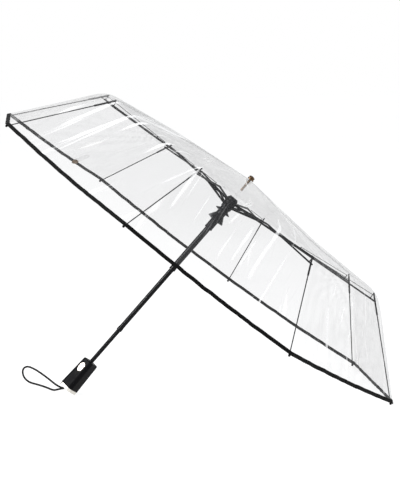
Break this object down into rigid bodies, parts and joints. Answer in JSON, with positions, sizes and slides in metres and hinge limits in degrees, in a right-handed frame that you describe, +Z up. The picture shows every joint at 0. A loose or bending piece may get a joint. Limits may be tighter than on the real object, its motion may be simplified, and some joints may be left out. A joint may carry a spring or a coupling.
{
  "type": "folding umbrella",
  "caption": "Open compact folding umbrella lying on its rim and handle: clear canopy with dark edge, folding rib frame, telescoping shaft, push-button handle and wrist cord.",
  "frame": {"origin": "on the ground, at the centre of the open umbrella's bounding box", "axes": "+Z up; the shaft rises in the XZ plane towards +X at about 47.8 degrees, so the two tips that touch the ground are at +X and the handle is at -X; +Y is to the far side"},
  "size_m": [0.7234, 0.9, 0.5964],
  "materials": {
    "black_plastic": "satin",
    "hub_plastic": "satin",
    "ivory_metal": "satin",
    "champagne_metal": "satin",
    "black_tube": "gloss",
    "black_rib": "satin",
    "steel": "satin",
    "bronze": "satin",
    "clear_film": "gloss",
    "clear_plastic": "gloss",
    "black_tape": "matte",
    "black_cord": "matte"
  },
  "bodies": {
    "handle": {"handle_shell": "black_plastic", "end_cap": "ivory_metal", "end_cap_screw": "steel", "strap_crimp": "steel", "wrist_strap": "black_cord", "button_spring": "steel", "lower_tube": "black_tube"},
    "button": {"push_button": "champagne_metal"},
    "latch": {"release_latch": "steel"},
    "middle_tube": {"middle_tube": "black_tube", "middle_ferrule": "black_tube", "main_spring": "steel"},
    "crown": {"upper_tube": "black_tube", "upper_ferrule": "black_tube", "crown": "hub_plastic", "crown_wire": "steel", "crown_plug": "hub_plastic", "cord_pulley": "steel", "pull_cord": "black_cord", "apex_post": "clear_plastic", "canopy_washer": "clear_plastic", "finial": "bronze", "canopy": "clear_film", "edge_binding": "black_tape", "closure_strap": "clear_film", "snap_button": "bronze"},
    "runner": {"runner": "hub_plastic", "runner_wire": "steel"},
    "top_rib_1": {"top_rib_1": "black_rib"},
    "top_rib_2": {"top_rib_2": "black_rib"},
    "top_rib_3": {"top_rib_3": "black_rib"},
    "top_rib_4": {"top_rib_4": "black_rib"},
    "top_rib_5": {"top_rib_5": "black_rib"},
    "top_rib_6": {"top_rib_6": "black_rib"},
    "top_rib_7": {"top_rib_7": "black_rib"},
    "top_rib_8": {"top_rib_8": "black_rib"},
    "stretcher_1": {"stretcher_1": "black_rib"},
    "stretcher_2": {"stretcher_2": "black_rib"},
    "stretcher_3": {"stretcher_3": "black_rib"},
    "stretcher_4": {"stretcher_4": "black_rib"},
    "stretcher_5": {"stretcher_5": "black_rib"},
    "stretcher_6": {"stretcher_6": "black_rib"},
    "stretcher_7": {"stretcher_7": "black_rib"},
    "stretcher_8": {"stretcher_8": "black_rib"},
    "middle_rib_1": {"middle_rib_1": "black_rib"},
    "middle_rib_2": {"middle_rib_2": "black_rib"},
    "middle_rib_3": {"middle_rib_3": "black_rib"},
    "middle_rib_4": {"middle_rib_4": "black_rib"},
    "middle_rib_5": {"middle_rib_5": "black_rib"},
    "middle_rib_6": {"middle_rib_6": "black_rib"},
    "middle_rib_7": {"middle_rib_7": "black_rib"},
    "middle_rib_8": {"middle_rib_8": "black_rib"},
    "outer_rib_1": {"outer_rib_1": "black_rib"},
    "outer_rib_2": {"outer_rib_2": "black_rib"},
    "outer_rib_3": {"outer_rib_3": "black_rib"},
    "outer_rib_4": {"outer_rib_4": "black_rib"},
    "outer_rib_5": {"outer_rib_5": "black_rib"},
    "outer_rib_6": {"outer_rib_6": "black_rib"},
    "outer_rib_7": {"outer_rib_7": "black_rib"},
    "outer_rib_8": {"outer_rib_8": "black_rib"}
  },
  "joints": [
    {"name": "middle_tube_slide", "type": "slide", "parent": "handle", "child": "middle_tube", "axis": [0.6722, 0, 0.7404], "range_m": [-0.083, 0], "deforming": ["main_spring"]},
    {"name": "upper_tube_slide", "type": "slide", "parent": "middle_tube", "child": "crown", "axis": [0.6722, 0, 0.7404], "range_m": [-0.1515, 0]},
    {"name": "runner_slide", "type": "slide", "parent": "crown", "child": "runner", "axis": [0.6722, 0, 0.7404], "range_m": [-0.10087, 0], "deforming": ["canopy", "edge_binding", "closure_strap", "snap_button"]},
    {"name": "button_press", "type": "slide", "parent": "handle", "child": "button", "axis": [0.4659, 0.7771, -0.423], "range_m": [0, 0.002], "stiffness_N_per_m": 600, "springref_m": -0.001, "deforming": ["button_spring"]},
    {"name": "latch_slide", "type": "slide", "parent": "handle", "child": "latch", "axis": [-0.6722, 0, -0.7404], "range_m": [0, 0.0015]},
    {"name": "top_rib_hinge_1", "type": "hinge", "parent": "crown", "child": "top_rib_1", "pos_m": [0.08224, -0.00329, 0.37291], "axis": [-0.2833, -0.9239, 0.2572], "range_deg": [-91.98, 0]},
    {"name": "top_rib_hinge_2", "type": "hinge", "parent": "crown", "child": "top_rib_2", "pos_m": [0.08224, 0.00329, 0.37291], "axis": [0.2833, -0.9239, -0.2572], "range_deg": [-91.98, 0]},
    {"name": "top_rib_hinge_3", "type": "hinge", "parent": "crown", "child": "top_rib_3", "pos_m": [0.0788, 0.00795, 0.37604], "axis": [0.684, -0.3827, -0.621], "range_deg": [-90.41, 0]},
    {"name": "top_rib_hinge_4", "type": "hinge", "parent": "crown", "child": "top_rib_4", "pos_m": [0.07392, 0.00795, 0.38047], "axis": [0.684, 0.3827, -0.621], "range_deg": [-88.19, 0]},
    {"name": "top_rib_hinge_5", "type": "hinge", "parent": "crown", "child": "top_rib_5", "pos_m": [0.07048, 0.00329, 0.38359], "axis": [0.2833, 0.9239, -0.2572], "range_deg": [-86.62, 0]},
    {"name": "top_rib_hinge_6", "type": "hinge", "parent": "crown", "child": "top_rib_6", "pos_m": [0.07048, -0.00329, 0.38359], "axis": [-0.2833, 0.9239, 0.2572], "range_deg": [-86.62, 0]},
    {"name": "top_rib_hinge_7", "type": "hinge", "parent": "crown", "child": "top_rib_7", "pos_m": [0.07392, -0.00795, 0.38047], "axis": [-0.684, 0.3827, 0.621], "range_deg": [-88.19, 0]},
    {"name": "top_rib_hinge_8", "type": "hinge", "parent": "crown", "child": "top_rib_8", "pos_m": [0.0788, -0.00795, 0.37604], "axis": [-0.684, -0.3827, 0.621], "range_deg": [-90.41, 0]},
    {"name": "stretcher_hinge_1", "type": "hinge", "parent": "runner", "child": "stretcher_1", "pos_m": [0.07579, -0.00344, 0.36526], "axis": [-0.2833, -0.9239, 0.2572], "range_deg": [0, 68.41]},
    {"name": "stretcher_hinge_2", "type": "hinge", "parent": "runner", "child": "stretcher_2", "pos_m": [0.07579, 0.00344, 0.36526], "axis": [0.2833, -0.9239, -0.2572], "range_deg": [0, 68.41]},
    {"name": "stretcher_hinge_3", "type": "hinge", "parent": "runner", "child": "stretcher_3", "pos_m": [0.07219, 0.00831, 0.36854], "axis": [0.684, -0.3827, -0.621], "range_deg": [0, 69.91]},
    {"name": "stretcher_hinge_4", "type": "hinge", "parent": "runner", "child": "stretcher_4", "pos_m": [0.06709, 0.00831, 0.37317], "axis": [0.684, 0.3827, -0.621], "range_deg": [0, 72.05]},
    {"name": "stretcher_hinge_5", "type": "hinge", "parent": "runner", "child": "stretcher_5", "pos_m": [0.06348, 0.00344, 0.37644], "axis": [0.2833, 0.9239, -0.2572], "range_deg": [0, 73.57]},
    {"name": "stretcher_hinge_6", "type": "hinge", "parent": "runner", "child": "stretcher_6", "pos_m": [0.06348, -0.00344, 0.37644], "axis": [-0.2833, 0.9239, 0.2572], "range_deg": [0, 73.57]},
    {"name": "stretcher_hinge_7", "type": "hinge", "parent": "runner", "child": "stretcher_7", "pos_m": [0.06709, -0.00831, 0.37317], "axis": [-0.684, 0.3827, 0.621], "range_deg": [0, 72.05]},
    {"name": "stretcher_hinge_8", "type": "hinge", "parent": "runner", "child": "stretcher_8", "pos_m": [0.07219, -0.00831, 0.36854], "axis": [-0.684, -0.3827, 0.621], "range_deg": [0, 69.91]},
    {"name": "middle_rib_hinge_1", "type": "hinge", "parent": "top_rib_1", "child": "middle_rib_1", "pos_m": [0.19436, -0.05928, 0.29531], "axis": [-0.2833, -0.9239, 0.2572], "range_deg": [0, 173.8]},
    {"name": "middle_rib_hinge_2", "type": "hinge", "parent": "top_rib_2", "child": "middle_rib_2", "pos_m": [0.19436, 0.05928, 0.29531], "axis": [0.2833, -0.9239, -0.2572], "range_deg": [0, 173.8]},
    {"name": "middle_rib_hinge_3", "type": "hinge", "parent": "top_rib_3", "child": "middle_rib_3", "pos_m": [0.12971, 0.14352, 0.34858], "axis": [0.684, -0.3827, -0.621], "range_deg": [0, 179.4]},
    {"name": "middle_rib_hinge_4", "type": "hinge", "parent": "top_rib_4", "child": "middle_rib_4", "pos_m": [0.03774, 0.14391, 0.4244], "axis": [0.684, 0.3827, -0.621], "range_deg": [0, 179.4]},
    {"name": "middle_rib_hinge_5", "type": "hinge", "parent": "top_rib_5", "child": "middle_rib_5", "pos_m": [-0.0275, 0.05968, 0.47819], "axis": [0.2833, 0.9239, -0.2572], "range_deg": [0, 179.4]},
    {"name": "middle_rib_hinge_6", "type": "hinge", "parent": "top_rib_6", "child": "middle_rib_6", "pos_m": [-0.0275, -0.05968, 0.47819], "axis": [-0.2833, 0.9239, 0.2572], "range_deg": [0, 179.4]},
    {"name": "middle_rib_hinge_7", "type": "hinge", "parent": "top_rib_7", "child": "middle_rib_7", "pos_m": [0.03774, -0.14391, 0.4244], "axis": [-0.684, 0.3827, 0.621], "range_deg": [0, 179.4]},
    {"name": "middle_rib_hinge_8", "type": "hinge", "parent": "top_rib_8", "child": "middle_rib_8", "pos_m": [0.12971, -0.14352, 0.34858], "axis": [-0.684, -0.3827, 0.621], "range_deg": [0, 179.4]},
    {"name": "outer_rib_hinge_1", "type": "hinge", "parent": "middle_rib_1", "child": "outer_rib_1", "pos_m": [0.33923, -0.13254, 0.19178], "axis": [-0.2833, -0.9239, 0.2572], "range_deg": [-131.68, 0]},
    {"name": "outer_rib_hinge_2", "type": "hinge", "parent": "middle_rib_2", "child": "outer_rib_2", "pos_m": [0.33923, 0.13254, 0.19178], "axis": [0.2833, -0.9239, -0.2572], "range_deg": [-131.68, 0]},
    {"name": "outer_rib_hinge_3", "type": "hinge", "parent": "middle_rib_3", "child": "outer_rib_3", "pos_m": [0.18202, 0.32138, 0.2966], "axis": [0.684, -0.3827, -0.621], "range_deg": [-131.68, 0]},
    {"name": "outer_rib_hinge_4", "type": "hinge", "parent": "middle_rib_4", "child": "outer_rib_4", "pos_m": [-0.02397, 0.32152, 0.46587], "axis": [0.684, 0.3827, -0.621], "range_deg": [-131.68, 0]},
    {"name": "outer_rib_hinge_5", "type": "hinge", "parent": "middle_rib_5", "child": "outer_rib_5", "pos_m": [-0.16953, 0.1331, 0.58547], "axis": [0.2833, 0.9239, -0.2572], "range_deg": [-131.68, 0]},
    {"name": "outer_rib_hinge_6", "type": "hinge", "parent": "middle_rib_6", "child": "outer_rib_6", "pos_m": [-0.16953, -0.1331, 0.58547], "axis": [-0.2833, 0.9239, 0.2572], "range_deg": [-131.68, 0]},
    {"name": "outer_rib_hinge_7", "type": "hinge", "parent": "middle_rib_7", "child": "outer_rib_7", "pos_m": [-0.02397, -0.32152, 0.46587], "axis": [-0.684, 0.3827, 0.621], "range_deg": [-131.68, 0]},
    {"name": "outer_rib_hinge_8", "type": "hinge", "parent": "middle_rib_8", "child": "outer_rib_8", "pos_m": [0.18202, -0.32138, 0.2966], "axis": [-0.684, -0.3827, 0.621], "range_deg": [-131.68, 0]}
  ],
  "couplings": [
    {"joint": "latch_slide", "follows": "button_press", "ratio": 0.75},
    {"joint": "top_rib_hinge_1", "follows": "runner_slide", "rad_per_m": 15.916},
    {"joint": "top_rib_hinge_2", "follows": "runner_slide", "rad_per_m": 15.916},
    {"joint": "top_rib_hinge_3", "follows": "runner_slide", "rad_per_m": 15.644},
    {"joint": "top_rib_hinge_4", "follows": "runner_slide", "rad_per_m": 15.26},
    {"joint": "top_rib_hinge_5", "follows": "runner_slide", "rad_per_m": 14.988},
    {"joint": "top_rib_hinge_6", "follows": "runner_slide", "rad_per_m": 14.988},
    {"joint": "top_rib_hinge_7", "follows": "runner_slide", "rad_per_m": 15.26},
    {"joint": "top_rib_hinge_8", "follows": "runner_slide", "rad_per_m": 15.644},
    {"joint": "stretcher_hinge_1", "follows": "runner_slide", "rad_per_m": -11.837},
    {"joint": "stretcher_hinge_2", "follows": "runner_slide", "rad_per_m": -11.837},
    {"joint": "stretcher_hinge_3", "follows": "runner_slide", "rad_per_m": -12.097},
    {"joint": "stretcher_hinge_4", "follows": "runner_slide", "rad_per_m": -12.467},
    {"joint": "stretcher_hinge_5", "follows": "runner_slide", "rad_per_m": -12.729},
    {"joint": "stretcher_hinge_6", "follows": "runner_slide", "rad_per_m": -12.729},
    {"joint": "stretcher_hinge_7", "follows": "runner_slide", "rad_per_m": -12.467},
    {"joint": "stretcher_hinge_8", "follows": "runner_slide", "rad_per_m": -12.097},
    {"joint": "middle_rib_hinge_1", "follows": "runner_slide", "rad_per_m": -30.073},
    {"joint": "middle_rib_hinge_2", "follows": "runner_slide", "rad_per_m": -30.073},
    {"joint": "middle_rib_hinge_3", "follows": "runner_slide", "rad_per_m": -31.042},
    {"joint": "middle_rib_hinge_4", "follows": "runner_slide", "rad_per_m": -31.042},
    {"joint": "middle_rib_hinge_5", "follows": "runner_slide", "rad_per_m": -31.042},
    {"joint": "middle_rib_hinge_6", "follows": "runner_slide", "rad_per_m": -31.042},
    {"joint": "middle_rib_hinge_7", "follows": "runner_slide", "rad_per_m": -31.042},
    {"joint": "middle_rib_hinge_8", "follows": "runner_slide", "rad_per_m": -31.042},
    {"joint": "outer_rib_hinge_1", "follows": "runner_slide", "rad_per_m": 22.784},
    {"joint": "outer_rib_hinge_2", "follows": "runner_slide", "rad_per_m": 22.784},
    {"joint": "outer_rib_hinge_3", "follows": "runner_slide", "rad_per_m": 22.784},
    {"joint": "outer_rib_hinge_4", "follows": "runner_slide", "rad_per_m": 22.784},
    {"joint": "outer_rib_hinge_5", "follows": "runner_slide", "rad_per_m": 22.784},
    {"joint": "outer_rib_hinge_6", "follows": "runner_slide", "rad_per_m": 22.784},
    {"joint": "outer_rib_hinge_7", "follows": "runner_slide", "rad_per_m": 22.784},
    {"joint": "outer_rib_hinge_8", "follows": "runner_slide", "rad_per_m": 22.784}
  ]
}
